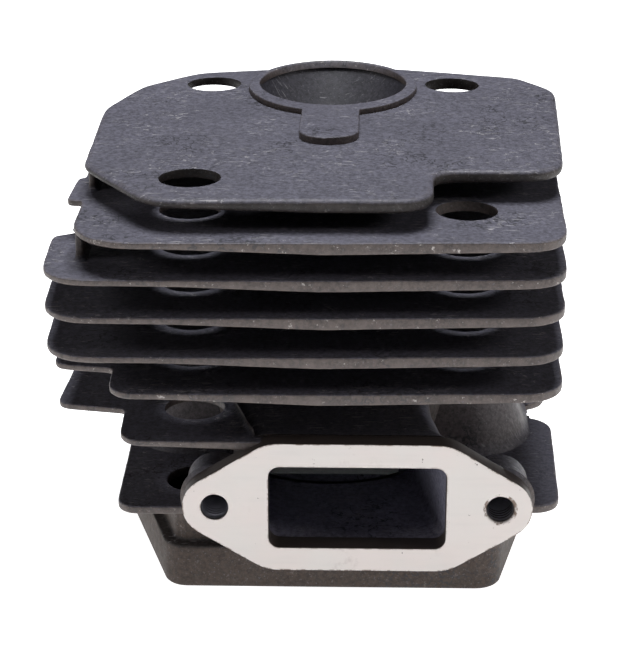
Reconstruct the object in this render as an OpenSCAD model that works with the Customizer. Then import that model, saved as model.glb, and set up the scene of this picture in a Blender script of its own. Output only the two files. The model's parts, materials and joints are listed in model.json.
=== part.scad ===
// Air-cooled two-stroke engine cylinder with its head cast in one piece.
// Front (-Y) is the exhaust side, +Z is up. The origin is on the bore axis
// at the flat underside that bolts down on the crankcase. Millimetres.

/* [Bore and base] */
// Radius of the working bore
bore_r = 25; // [20:0.5:30]
// Thickness of the hard lining of the bore
lining_t = 1.2; // [0.6:0.1:2.5]
// Height where the lining begins, above a plain entry
lining_z = 1; // [0.5:0.1:3]
// Outer radius of the barrel wall under the fins
barrel_r = 31; // [28:0.5:34]
// Height where the straight bore ends and the chamber begins
deck_z = 54; // [48:0.5:60]
// Height of the base block
block_h = 20; // [12:0.5:24]
// Thickness of the base plate
plate_t = 1.8; // [1.2:0.1:6]
// Base screw spacing, left to right
screw_x = 54; // [46:0.5:62]
// Base screw spacing, front to back
screw_y = 72; // [64:0.5:80]
// Radius of the base screw holes
screw_r = 2.75; // [2.2:0.05:3.5]
// Radius of the screwdriver holes through the fins
access_r = 6.1; // [4.5:0.1:7]

/* [Fins] */
// Top of fin 1, the highest fin
fin1_z = 86.7; // [82:0.1:92]
// Top of fin 2
fin2_z = 80.3; // [76:0.1:84]
// Top of fin 3
fin3_z = 72.9; // [69:0.1:76]
// Top of fin 4
fin4_z = 65.3; // [62:0.1:69]
// Top of fin 5
fin5_z = 57.3; // [54:0.1:61]
// Top of fin 6
fin6_z = 49.5; // [46:0.1:53]
// Top of fin 7, the lowest fin
fin7_z = 38; // [34:0.1:42]
// Fin thickness on the parting line of the casting
fin_mid_t = 2.4; // [1.6:0.1:3.5]
// Fin thickness at its left edge
fin_left_t = 1.3; // [0.8:0.1:2.5]
// Fin thickness at its right edge
fin_right_t = 1.7; // [0.8:0.1:2.5]

/* [Exhaust] */
// Front face of the exhaust flange, distance ahead of the bore axis
ex_face_y = 55.2; // [50:0.1:62]
// Sideways offset of the exhaust flange from the bore axis
ex_off_x = 6.1; // [0:0.1:10]
// Height of the exhaust port centre
ex_z = 24.8; // [20:0.1:30]
// Distance between the two exhaust screws
ex_pitch = 56.2; // [48:0.1:62]
// Tapped hole radius of the exhaust screws
ex_tap_r = 2.5; // [2:0.05:3.5]
// Exhaust port width at the flange
ex_port_w = 35; // [28:0.5:38]
// Exhaust port height
ex_port_h = 17.6; // [12:0.1:20]
// Exhaust flange thickness
ex_flange_t = 5; // [3:0.5:8]

/* [Intake] */
// Rear face of the intake flange, distance behind the bore axis
in_face_y = 51; // [46:0.5:56]
// Height of the intake port centre
in_z = 32; // [26:0.5:36]
// Distance between the two intake screws
in_pitch = 46; // [40:0.5:52]
// Tapped hole radius of the intake screws
in_tap_r = 2.1; // [1.6:0.05:2.6]
// Intake port width
in_port_w = 27; // [20:0.5:32]
// Intake port height
in_port_h = 14; // [10:0.5:16]

/* [Spark plug] */
// Backward lean of the plug axis, degrees
plug_lean = 36; // [20:1:40]
// Core radius of the plug thread
plug_r = 6.35; // [4.5:0.05:7]
// Radius of the plug well at its mouth
well_r = 16.5; // [14:0.1:18]
// Distance of the well mouth centre behind the bore axis
well_y = 32.2; // [24:0.1:36]
// Height of the raised collar round the well mouth
collar_h = 1.2; // [0.6:0.1:3]

/* [Hidden] */
e = 0.01;
plate_z = block_h + plate_t;
line_r = bore_r + lining_t;
part_x = -1.3;
collar_z = fin1_z + collar_h;
well_depth = 23;
seat_t = 13;
seat_boss_r = 10.5;
well_seat_r = 13.5;
tube_mouth_r = 18.85;
tube_seat_r = 15.6;
tube_shift = -2.2;
fin_right_x = 47;
flange_back_y = -ex_face_y + ex_flange_t;
in_flange_t = 4;
in_front_y = in_face_y - in_flange_t;
plate_front_y = -49.4;
seat_z = 19.2;

// ---- outlines with rounded corners ----

// Unit vector from a to b.
function dir(a, b) = (b - a) / norm(b - a);

// Points of one rounded corner at b, between its neighbours a and c.
function corner(a, b, c, r, n) = let(
    u = dir(b, a),
    v = dir(b, c),
    half = acos(max(-1, min(1, u * v))) / 2,
    d = r / tan(half),
    turn = u[0] * v[1] - u[1] * v[0],
    side = turn > 0 ? 1 : -1,
    p = b + u * d,
    m = p + side * r * [-u[1], u[0]],
    start = atan2(p[1] - m[1], p[0] - m[0]),
    sweep = -side * (180 - 2 * half)
) r <= 0 ? [b] : [for (i = [0:n]) m + r * [cos(start + sweep * i / n), sin(start + sweep * i / n)]];

// Closed outline: every row is [x, y, corner radius].
function rounded(rows, n = 6) = let(
    k = len(rows)
) [for (i = [0:k - 1]) each corner(
    [rows[(i + k - 1) % k][0], rows[(i + k - 1) % k][1]],
    [rows[i][0], rows[i][1]],
    [rows[(i + 1) % k][0], rows[(i + 1) % k][1]],
    rows[i][2], n)];

module plate(rows, z0, z1) {
    translate([0, 0, z0])
        linear_extrude(z1 - z0)
            polygon(rounded(rows));
}

// ---- shared cutting bodies ----

module screw_hole(sx, sy, r, z0, z1) {
    translate([sx * screw_x / 2, sy * screw_y / 2, z0])
        cylinder(h = z1 - z0, r = r, $fn = 64);
}

module screw_pattern(r, z0, z1) {
    for (sx = [-1, 1]) {
        for (sy = [-1, 1]) {
            screw_hole(sx, sy, r, z0, z1);
        }
    }
}

module bore_hole(r, z0, z1) {
    translate([0, 0, z0])
        cylinder(h = z1 - z0, r = r, $fn = 96);
}

// Solid head shape: straight below, leaning in above the deck.
module head_body() {
    translate([0, 0, deck_z])
        cylinder(h = fin1_z - 1.2 - deck_z, r1 = barrel_r, r2 = 17, $fn = 96);
}

// Everything the fins grow out of.
module core() {
    bore_hole(barrel_r, 0, deck_z);
    head_body();
}

// Places its child on the leaning plug axis, zero at the well mouth.
module on_plug_axis(shift) {
    translate([0, well_y + shift, collar_z])
        rotate([-plug_lean, 0, 0])
            children();
}

module well_inside() {
    on_plug_axis(0) {
        translate([0, 0, -well_depth])
            cylinder(h = well_depth, r1 = well_seat_r, r2 = well_r, $fn = 96);
        translate([0, 0, -e])
            cylinder(h = 30, r = well_r, $fn = 96);
    }
}

// Hole for the spark plug thread, from the well floor into the chamber.
module plug_hole() {
    on_plug_axis(0)
        translate([0, 0, -well_depth - seat_t - 8])
            cylinder(h = seat_t + 10, r = plug_r, $fn = 64);
}

// Round boss under the well floor that holds the thread.
module seat_boss() {
    on_plug_axis(0)
        translate([0, 0, -well_depth - seat_t])
            cylinder(h = seat_t + 1, r = seat_boss_r, $fn = 72);
}

// Combustion chamber: squish band and shallow dome over the bore.
module chamber() {
    translate([0, 0, deck_z - e])
        rotate_extrude($fn = 96)
            polygon([
                [0, 0],
                [bore_r, 0],
                [bore_r, 0.8],
                [18, 1.6],
                [16.5, 4.2],
                [12, 6.4],
                [6, 7.6],
                [0, 8]
            ]);
}

module well_outside() {
    seat_boss();
    on_plug_axis(tube_shift) {
        translate([0, 0, -well_depth])
            cylinder(h = well_depth, r1 = tube_seat_r, r2 = tube_mouth_r, $fn = 96);
        translate([0, 0, -e])
            cylinder(h = 30, r = tube_mouth_r, $fn = 96);
    }
}

// Outer shape of the exhaust duct, seen from above.
module duct_shape(grow) {
    translate([0, 0, ex_z - 12.6 - grow])
        linear_extrude(25.9 + 2 * grow)
            polygon([
                [-14.4 - grow, flange_back_y],
                [24.2 + grow, flange_back_y],
                [21.2 + grow, -33],
                [20.6 + grow, 0],
                [-20.6 - grow, 0],
                [-19.6 - grow, -33]
            ]);
}

// Passage from the bore to the exhaust face.
module exhaust_passage() {
    translate([0, 0, ex_z - ex_port_h / 2])
        linear_extrude(ex_port_h)
            polygon([
                [ex_off_x - ex_port_w / 2, -ex_face_y - 1],
                [ex_off_x + ex_port_w / 2, -ex_face_y - 1],
                [ex_off_x + ex_port_w / 2, flange_back_y],
                [17.5, -20],
                [-17.5, -20],
                [ex_off_x - ex_port_w / 2, flange_back_y]
            ]);
}

// Outer shape of the intake duct.
module intake_shape() {
    translate([-in_port_w / 2 - 3, 0, in_z - in_port_h / 2 - 3])
        cube([in_port_w + 6, in_front_y, in_port_h + 6]);
}

module intake_passage() {
    translate([-in_port_w / 2, 20, in_z - in_port_h / 2])
        cube([in_port_w, in_face_y, in_port_h]);
}

// Side bulge that carries the transfer channels; side is 1 right, -1 left.
module transfer_shape(side) {
    for (sy = [-1, 1]) {
        translate([side * 29, sy * 10, plate_z])
            cylinder(h = 24, r1 = 14, r2 = 5, $fn = 72);
    }
    rotate([90, 0, 0])
        translate([0, 0, -11])
            linear_extrude(22)
                polygon([
                    [0, plate_z],
                    [side * 43, plate_z],
                    [side * 34, plate_z + 24],
                    [0, plate_z + 24]
                ]);
}

// ---- fins ----

// Front view of a fin: thick on the parting line, thin at both edges.
module fin_profile(top) {
    rotate([90, 0, 0])
        translate([0, 0, -80])
            linear_extrude(160)
                polygon([
                    [-60, top - 0.35],
                    [-30, top - 0.25],
                    [part_x, top],
                    [24, top - 0.1],
                    [60, top - 0.4],
                    [60, top - 0.4 - fin_right_t],
                    [24, top - fin_mid_t + 0.1],
                    [part_x, top - fin_mid_t],
                    [-30, top - 0.3 - fin_left_t],
                    [-60, top - 0.35 - fin_left_t]
                ]);
}

module fin_plate(rows, top) {
    difference() {
        fin_blank(rows, top);
        screw_pattern(access_r, top - 5, top + 2);
    }
}

// Fin before its screwdriver holes are made.
module fin_blank(rows, top) {
    difference() {
        intersection() {
            plate(rows, top - 4, top + 1);
            fin_profile(top);
        }
        core();
    }
}

// Rear edge shared by the fins below the top one, right to left.
rear_rows = [
    [48.5, 34, 8],
    [41, 46, 5],
    [12, 50.5, 20],
    [-12, 50.5, 20],
    [-31.5, 46, 6],
    [-44, 33, 14],
    [-50.8, 16, 10]
];

module fin_1() {
    color([0.16, 0.16, 0.18])
    difference() {
        fin_blank([
            [-49.0, -27, 10],
            [-34, -50.6, 11],
            [20.2, -50.3, 7],
            [20.5, -31.2, 4],
            [46.4, -30.2, 8],
            [50.2, 32.5, 6],
            [42.6, 43.8, 4],
            [12.5, 51.4, 20],
            [-11.7, 50.6, 20],
            [-31.5, 46.8, 8],
            [-43.6, 34, 14],
            [-49.8, 15, 10]
        ], fin1_z);
        well_outside();
        screw_hole(-1, -1, access_r, fin1_z - 5, fin1_z + 2);
        screw_hole(-1, 1, access_r, fin1_z - 5, fin1_z + 2);
        screw_hole(1, 1, access_r, fin1_z - 5, fin1_z + 2);
    }
}

module fin_2() {
    color([0.16, 0.16, 0.18])
    difference() {
        fin_plate(concat([
            [-48.9, -31, 0.8],
            [-48.7, -56.4, 12],
            [0, -56.8, 90],
            [45.3, -54.6, 8]
        ], rear_rows, [
            [-50.2, -15.4, 0.8],
            [-51.6, -15.4, 1.2],
            [-52.2, -30.8, 1.2]
        ]), fin2_z);
        well_outside();
    }
}

// Fins 3 to 5 share one outline with a wing at the front left.
module winged_fin(top) {
    difference() {
        fin_plate(concat([
            [-55.2, -30.8, 2],
            [-54.4, -56.4, 9],
            [0, -56.8, 90],
            [45.7, -54.4, 8]
        ], rear_rows, [
            [-50.8, -28.8, 1.5]
        ]), top);
        well_outside();
    }
}

module fin_3() {
    color([0.16, 0.16, 0.18])
        winged_fin(fin3_z);
}

module fin_4() {
    color([0.16, 0.16, 0.18])
        winged_fin(fin4_z);
}

module fin_5() {
    color([0.16, 0.16, 0.18])
        winged_fin(fin5_z);
}

module fin_6() {
    color([0.16, 0.16, 0.18])
        fin_plate(concat([
            [-54.6, -41, 2.5],
            [-42.6, -43, 1.2],
            [-42.3, -55.8, 5],
            [0, -56.4, 90],
            [45.9, -54.2, 8]
        ], rear_rows, [
            [-54.8, 16, 2]
        ]), fin6_z);
}

// Lowest fin: left side and rear right only, open at the ducts.
module fin_7() {
    color([0.16, 0.16, 0.18])
    difference() {
        fin_plate([
            [-55.4, -34.4, 2.5],
            [-41.2, -37, 1.2],
            [-41.0, -52.4, 5],
            [-8, -53.2, 0],
            [-8, -30, 0],
            [36, -2, 2],
            [36.5, 44, 5],
            [-40, 44, 6],
            [-52, 26, 8]
        ], fin7_z);
        duct_shape(0);
        intake_shape();
        transfer_shape(-1);
        transfer_shape(1);
    }
}

// ---- base ----

module base_block() {
    color([0.2, 0.19, 0.19])
    difference() {
        plate([
            [-32.6, -42.5, 5],
            [35, -42.5, 5.5],
            [43.6, -8, 12],
            [43.6, 8, 12],
            [35, 42.5, 5.5],
            [-32.6, 42.5, 5],
            [-43.4, 8, 12],
            [-43.4, -8, 12]
        ], 0, block_h);
        bore_hole(line_r, -1, block_h + 1);
        screw_pattern(screw_r, -1, block_h + 1);
        screw_pattern(access_r, seat_z, block_h + 1);
        duct_shape(0);
        front_pocket();
    }
}

// Recess under the plate round the front left corner, left of the exhaust flange.
module front_pocket() {
    translate([0, 0, 9.4])
        linear_extrude(8.8)
            polygon([
                [-50, -22],
                [-50, -50],
                [-10, -50],
                [-10, -39.8],
                [-29.5, -39.8],
                [-31.4, -38.4],
                [-35.8, -25],
                [-39.4, -22]
            ]);
}

// Outline of the base plate between two heights.
module plate_outline(z0, z1) {
    plate([
        [-42.2, plate_front_y, 4],
        [46.8, plate_front_y + 2.2, 5],
        [48.6, -4, 6],
        [43.2, -3.5, 1.5],
        [43.2, 3.5, 1.5],
        [48.6, 4, 6],
        [46.8, 46, 5],
        [-42.2, 46, 4],
        [-42.6, 0, 20]
    ], z0, z1);
}

module base_plate() {
    color([0.16, 0.16, 0.18])
    difference() {
        plate_outline(block_h, plate_z);
        bore_hole(line_r, block_h - 1, plate_z + 1);
        screw_pattern(access_r, block_h - 1, plate_z + 1);
        duct_shape(0);
        exhaust_taps(13);
    }
}

module barrel_wall() {
    color([0.2, 0.19, 0.19])
    difference() {
        bore_hole(barrel_r, plate_z, deck_z);
        bore_hole(line_r, plate_z - 1, deck_z + 1);
        duct_shape(0);
        intake_passage();
    }
}

module bore_lining() {
    color([0.72, 0.72, 0.74])
    difference() {
        bore_hole(line_r, lining_z, deck_z);
        bore_hole(bore_r, -1, deck_z + 1);
        exhaust_passage();
        intake_passage();
        for (side = [-1, 1]) {
            for (sy = [-1, 1]) {
                translate([side * 24, sy * 8, 21])
                    cube([12, 9, 12], center = true);
            }
        }
    }
}

// Cylinder head: squish band, domed chamber, leaning plug thread.
module head_dome() {
    color([0.2, 0.19, 0.19])
    difference() {
        head_body();
        chamber();
        well_outside();
        plug_hole();
    }
}

module plug_well() {
    color([0.12, 0.12, 0.13])
    difference() {
        intersection() {
            well_outside();
            translate([-40, -20, deck_z])
                cube([80, 90, fin1_z - deck_z]);
        }
        well_inside();
        chamber();
        plug_hole();
    }
}

// Raised rim round the well mouth with a round-ended tab at the front.
module plug_collar() {
    color([0.16, 0.16, 0.18])
    difference() {
        union() {
            intersection() {
                well_outside();
                translate([-40, -20, fin1_z])
                    cube([80, 90, collar_h]);
            }
            plate([
                [-6.4, 12, 0],
                [-6.6, -13.6, 6],
                [5.8, -13.6, 6],
                [6.0, 12, 0]
            ], fin1_z, collar_z);
        }
        well_inside();
    }
}

// ---- exhaust ----

module exhaust_duct() {
    color([0.18, 0.18, 0.2])
    difference() {
        duct_shape(0);
        bore_hole(line_r, 0, deck_z);
        exhaust_passage();
    }
}

// Flange outline in front view, centred on the port.
module flange_outline(half_w, half_h, shoulder, lobe_r) {
    polygon(rounded([
        [-shoulder, half_h, 8],
        [-half_w - lobe_r * 0.55, lobe_r * 0.84, 0],
        [-half_w - lobe_r * 0.55, -lobe_r * 0.84, 0],
        [-shoulder, -half_h, 8],
        [shoulder, -half_h, 8],
        [half_w + lobe_r * 0.55, -lobe_r * 0.84, 0],
        [half_w + lobe_r * 0.55, lobe_r * 0.84, 0],
        [shoulder, half_h, 8]
    ]));
    for (s = [-1, 1]) {
        translate([s * half_w, 0])
            circle(r = lobe_r, $fn = 64);
    }
}

module port_outline(w, h, r) {
    polygon(rounded([
        [-w / 2, -h / 2, r],
        [w / 2, -h / 2, r],
        [w / 2, h / 2, r],
        [-w / 2, h / 2, r]
    ]));
}

// Places its child in the exhaust face, extruded backwards by depth.
module on_exhaust_face(depth) {
    translate([ex_off_x, -ex_face_y + depth, ex_z])
        rotate([90, 0, 0])
            linear_extrude(depth)
                children();
}

module exhaust_taps(depth) {
    for (s = [-1, 1]) {
        translate([ex_off_x + s * ex_pitch / 2, -ex_face_y - 1, ex_z])
            rotate([-90, 0, 0])
                cylinder(h = depth, r = ex_tap_r, $fn = 64);
    }
}

module exhaust_flange() {
    color([0.82, 0.82, 0.8])
    difference() {
        on_exhaust_face(ex_flange_t)
            flange_outline(ex_pitch / 2, 13.8, 18, 6.4);
        translate([0, -1, 0])
            on_exhaust_face(ex_flange_t + 2)
                port_outline(ex_port_w, ex_port_h, 2.2);
        exhaust_taps(20);
    }
}

// Round screw boss behind one lobe of the flange.
module exhaust_boss(s) {
    difference() {
        translate([ex_off_x + s * ex_pitch / 2, flange_back_y, ex_z])
            rotate([-90, 0, 0])
                cylinder(h = 9.2, r = 6.2, $fn = 64);
        plate_outline(0, plate_z);
        duct_shape(0);
        exhaust_taps(13);
    }
}

module exhaust_boss_left() {
    color([0.16, 0.16, 0.18])
        exhaust_boss(-1);
}

module exhaust_boss_right() {
    color([0.16, 0.16, 0.18])
        exhaust_boss(1);
}

// ---- transfer bulges ----

module transfer_left() {
    color([0.2, 0.19, 0.19])
    difference() {
        transfer_shape(-1);
        bore_hole(barrel_r, 0, deck_z);
        duct_shape(0);
    }
}

module transfer_right() {
    color([0.2, 0.19, 0.19])
    difference() {
        transfer_shape(1);
        bore_hole(barrel_r, 0, deck_z);
        duct_shape(0);
    }
}

// ---- intake ----

module intake_duct() {
    color([0.18, 0.18, 0.2])
    difference() {
        intake_shape();
        bore_hole(barrel_r, 0, deck_z);
        intake_passage();
    }
}

module intake_flange() {
    color([0.8, 0.8, 0.78])
    difference() {
        translate([0, in_face_y, in_z])
            rotate([90, 0, 0])
                linear_extrude(in_flange_t)
                    flange_outline(in_pitch / 2, 11, 15, 5.5);
        intake_passage();
        for (s = [-1, 1]) {
            translate([s * in_pitch / 2, in_front_y - 1, in_z])
                rotate([-90, 0, 0])
                    cylinder(h = in_flange_t + 2, r = in_tap_r, $fn = 64);
        }
    }
}

// ---- small stiffening ribs at the left edges of the fins ----

module edge_rib_upper() {
    color([0.16, 0.16, 0.18])
    difference() {
        translate([-48.4, -24, fin2_z - 1])
            cube([1.4, 6, fin1_z - fin2_z - 0.5]);
        fin_profile(fin1_z);
        fin_profile(fin2_z);
    }
}

module edge_rib_lower() {
    color([0.16, 0.16, 0.18])
    difference() {
        translate([-48.6, -45, fin3_z - 1])
            cube([1.4, 8, fin2_z - fin3_z - 0.5]);
        fin_profile(fin2_z);
        fin_profile(fin3_z);
    }
}

base_block();
base_plate();
barrel_wall();
bore_lining();
head_dome();
plug_well();
plug_collar();
fin_1();
fin_2();
fin_3();
fin_4();
fin_5();
fin_6();
fin_7();
exhaust_duct();
exhaust_flange();
exhaust_boss_left();
exhaust_boss_right();
transfer_left();
transfer_right();
intake_duct();
intake_flange();
edge_rib_upper();
edge_rib_lower();
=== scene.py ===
"""Finished look of an air-cooled two-stroke engine cylinder with its head cast on.

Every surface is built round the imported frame: outlines, heights and hole places are
read from the frame's own nodes, and only edge rounding, fillets, threads and finishes
are added here. Lengths are worked out in millimetres and stored in metres.
"""

import json
import math

import bmesh
import bpy
import numpy as np
from mathutils import Matrix, Vector, noise
from mathutils.geometry import delaunay_2d_cdt


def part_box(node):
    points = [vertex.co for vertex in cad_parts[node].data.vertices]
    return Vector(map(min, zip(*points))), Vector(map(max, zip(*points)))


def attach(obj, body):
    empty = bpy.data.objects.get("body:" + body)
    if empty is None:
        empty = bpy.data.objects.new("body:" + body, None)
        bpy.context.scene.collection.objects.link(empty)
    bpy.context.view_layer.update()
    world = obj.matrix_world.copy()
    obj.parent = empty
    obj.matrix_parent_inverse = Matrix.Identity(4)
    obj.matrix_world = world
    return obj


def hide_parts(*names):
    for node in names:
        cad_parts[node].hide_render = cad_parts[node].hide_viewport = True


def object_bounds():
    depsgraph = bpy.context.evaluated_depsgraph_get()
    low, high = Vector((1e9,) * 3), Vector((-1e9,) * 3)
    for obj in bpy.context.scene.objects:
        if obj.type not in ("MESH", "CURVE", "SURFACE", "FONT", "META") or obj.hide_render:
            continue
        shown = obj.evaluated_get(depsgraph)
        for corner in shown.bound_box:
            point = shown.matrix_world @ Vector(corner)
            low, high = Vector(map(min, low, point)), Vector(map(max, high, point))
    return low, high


bl_info = {
    "name": "Finned Engine Cylinder",
    "version": (1, 0, 0),
    "blender": (4, 5, 0),
    "location": "View3D > Sidebar > Cylinder",
    "description": "Builds the cast and machined surfaces of a finned engine cylinder",
    "category": "Object",
}

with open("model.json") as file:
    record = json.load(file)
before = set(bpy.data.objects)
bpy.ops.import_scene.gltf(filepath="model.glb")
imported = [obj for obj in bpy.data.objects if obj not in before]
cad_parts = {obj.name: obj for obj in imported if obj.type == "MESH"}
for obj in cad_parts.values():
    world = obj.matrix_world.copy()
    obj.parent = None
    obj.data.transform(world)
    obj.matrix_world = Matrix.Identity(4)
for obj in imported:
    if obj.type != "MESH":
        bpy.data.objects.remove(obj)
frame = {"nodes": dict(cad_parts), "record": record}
cad_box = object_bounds()

BODY = "root"
MM = 0.001
FINS = ["fin_1", "fin_2", "fin_3", "fin_4", "fin_5", "fin_6", "fin_7"]

# Working planes: across, up and outward directions for each way a face can look.
PLANES = {
    "up": (Vector((1, 0, 0)), Vector((0, 1, 0)), Vector((0, 0, 1))),
    "front": (Vector((1, 0, 0)), Vector((0, 0, 1)), Vector((0, -1, 0))),
    "back": (Vector((-1, 0, 0)), Vector((0, 0, 1)), Vector((0, 1, 0))),
}


# ---------------------------------------------------------------- frame readings


def box_mm(node):
    """Lowest and highest corners of a frame node in millimetres."""
    low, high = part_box(node)
    return [v / MM for v in low], [v / MM for v in high]


def mount(name):
    """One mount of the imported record."""
    for item in frame["record"]["mounts"]:
        if item["name"] == name:
            return item
    raise ValueError("the record has no mount named " + name)


def mount_mm(name):
    """Position of a mount in millimetres."""
    return Vector(mount(name)["pos_m"]) / MM


def clean_copy(node):
    """The frame node as a bmesh with its split corners joined again."""
    bm = bmesh.new()
    bm.from_mesh(frame["nodes"][node].data)
    bmesh.ops.remove_doubles(bm, verts=bm.verts, dist=2e-6)
    bm.normal_update()
    bm.verts.ensure_lookup_table()
    return bm


def facing_faces(bm, outward, depth_mm):
    """Faces that look along outward and lie within depth of the furthest one."""
    furthest = max(v.co.dot(outward) for v in bm.verts)
    faces = []
    for face in bm.faces:
        if face.normal.dot(outward) < 0.9:
            continue
        if face.calc_center_median().dot(outward) > furthest - depth_mm * MM:
            faces.append(face)
    return faces


def outline_loops(node, plane, depth_mm=1.0):
    """Closed outlines in millimetres of the face of a node that looks along a plane.

    The longest loop comes first. Metal is on the left of every loop.
    """
    across, up, outward = PLANES[plane]
    bm = clean_copy(node)
    faces = set(facing_faces(bm, outward, depth_mm))
    following = {}
    for face in faces:
        for corner in face.loops:
            inside = sum(1 for other in corner.edge.link_faces if other in faces)
            if inside == 1:
                nxt = corner.link_loop_next.vert.index
                following.setdefault(corner.vert.index, []).append(nxt)
    loops = []
    while following:
        start = next(iter(following))
        ring = [start]
        here = following[start].pop()
        if not following[start]:
            del following[start]
        while here != start:
            ring.append(here)
            ahead = following[here].pop()
            if not following[here]:
                del following[here]
            here = ahead
        points = [bm.verts[i].co / MM for i in ring]
        loops.append([(p.dot(across), p.dot(up)) for p in points])
    bm.free()
    loops.sort(key=loop_length, reverse=True)
    return loops


def height_by_x(node, side):
    """Top (side 1) or bottom (side -1) height of a fin along X, both in millimetres."""
    bm = clean_copy(node)
    spans = {}
    for face in bm.faces:
        if face.normal.z * side > 0.9:
            for v in face.verts:
                x = v.co.x / MM
                z = v.co.z / MM
                key = math.floor(x / 4.0)
                if key not in spans or z * side > spans[key][1] * side:
                    spans[key] = (x, z)
    bm.free()
    rows = sorted(spans.values())
    xs = [x for x, _ in rows]
    zs = [z for _, z in rows]
    return lambda x: float(np.interp(x, xs, zs))


# ---------------------------------------------------------------- outline tools


def loop_length(loop):
    """Perimeter of a closed outline."""
    count = len(loop)
    return sum(math.dist(loop[i], loop[(i + 1) % count]) for i in range(count))


def resample(loop, step):
    """The outline with points no further apart than step and none bunched up."""
    points = []
    count = len(loop)
    for i in range(count):
        a = loop[i]
        b = loop[(i + 1) % count]
        length = math.dist(a, b)
        if length < step * 0.2:
            continue
        pieces = max(1, math.ceil(length / step))
        for k in range(pieces):
            t = k / pieces
            points.append((a[0] + (b[0] - a[0]) * t, a[1] + (b[1] - a[1]) * t))
    return points


def relax(loop, passes):
    """Rounds off the small facets of an outline."""
    pts = np.array(loop)
    for _ in range(passes):
        pts = pts * 0.5 + (np.roll(pts, 1, axis=0) + np.roll(pts, -1, axis=0)) * 0.25
    return [tuple(p) for p in pts]


def inward_normals(loop):
    """Unit directions into the metal at every point of an outline."""
    pts = np.array(loop)
    along = np.roll(pts, -1, axis=0) - np.roll(pts, 1, axis=0)
    along /= np.maximum(np.linalg.norm(along, axis=1), 1e-9)[:, None]
    return np.stack([-along[:, 1], along[:, 0]], axis=1)


def inside_mask(points, loops):
    """True for points that lie in the metal between the outlines."""
    hit = np.zeros(len(points), dtype=bool)
    px = points[:, 0]
    py = points[:, 1]
    for loop in loops:
        ring = np.array(loop)
        for (x0, y0), (x1, y1) in zip(ring, np.roll(ring, -1, axis=0)):
            crosses = (y0 > py) != (y1 > py)
            slope = (x1 - x0) / ((y1 - y0) if y1 != y0 else 1e-12)
            hit ^= crosses & (px < slope * (py - y0) + x0)
    return hit


def fill_points(loops, grid):
    """Evenly spread inner points that keep clear of the outlines."""
    ring = np.array(loops[0])
    low = ring.min(axis=0)
    high = ring.max(axis=0)
    us = np.arange(low[0] + grid / 2, high[0], grid)
    vs = np.arange(low[1] + grid / 2, high[1], grid)
    points = np.array([(u + (j % 2) * grid / 2, v) for j, v in enumerate(vs) for u in us])
    points = points[inside_mask(points, loops)]
    border = np.concatenate([np.array(loop) for loop in loops])
    keep = []
    for p in points:
        gap = np.min(np.abs(border - p).max(axis=1))
        if gap > grid * 0.55:
            keep.append(p)
    return keep


def waver(loop, size, seed):
    """Gives an outline the slight unevenness of a cast edge."""
    if size <= 0:
        return loop
    normals = inward_normals(loop)
    out = []
    for p, n in zip(loop, normals):
        slow = noise.noise(Vector((p[0] * 0.11, p[1] * 0.11, seed)))
        quick = noise.noise(Vector((p[0] * 0.7, p[1] * 0.7, seed + 40)))
        shift = size * (abs(slow) * 0.8 + abs(quick) * 0.45)
        out.append((p[0] + n[0] * shift, p[1] + n[1] * shift))
    return out


# ---------------------------------------------------------------- mesh tools


class Builder:
    """Collects points and faces in millimetres and turns them into one object."""

    def __init__(self):
        self.points = []
        self.faces = []
        self.worn = []

    def add(self, point, worn=0.0):
        self.points.append(Vector(point))
        self.worn.append(worn)
        return len(self.points) - 1

    def ring(self, points, worn=0.0):
        return [self.add(p, worn) for p in points]

    def bridge(self, first, second, closed=True):
        """Joins two rows of points with quads; first then second, outside on the left."""
        count = len(first)
        last = count if closed else count - 1
        for i in range(last):
            j = (i + 1) % count
            self.faces.append((first[i], first[j], second[j], second[i]))

    def cap(self, row, flip=False):
        """Closes a row of points with one face."""
        self.faces.append(tuple(reversed(row)) if flip else tuple(row))

    def fan(self, row, centre, flip=False):
        """Closes a row of points with triangles round a centre point."""
        count = len(row)
        for i in range(count):
            a = row[i]
            b = row[(i + 1) % count]
            self.faces.append((b, a, centre) if flip else (a, b, centre))

    def make(self, name, material, smooth_angle=40):
        """Creates the object, smooth shaded except across sharp corners."""
        mesh = bpy.data.meshes.new(name)
        mesh.from_pydata([p * MM for p in self.points], [], self.faces)
        mesh.validate()
        layer = mesh.attributes.new("worn", "FLOAT", "POINT")
        if len(layer.data) == len(self.worn):
            layer.data.foreach_set("value", self.worn)
        mesh.shade_smooth()
        mesh.set_sharp_from_angle(angle=math.radians(smooth_angle))
        mesh.materials.append(material)
        obj = bpy.data.objects.new(name, mesh)
        bpy.context.scene.collection.objects.link(obj)
        return obj


def place(plane, u, v, w):
    """Point of a working plane in the frame's own axes."""
    across, up, outward = PLANES[plane]
    return across * u + up * v + outward * w


def rounded_profile(radius, steps):
    """Quarter round from the face edge to the rim: pairs of (inset, drop)."""
    rows = []
    for i in range(steps + 1):
        a = math.pi / 2 * i / steps
        rows.append((radius * (1 - math.sin(a)), radius * (1 - math.cos(a))))
    return rows


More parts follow.
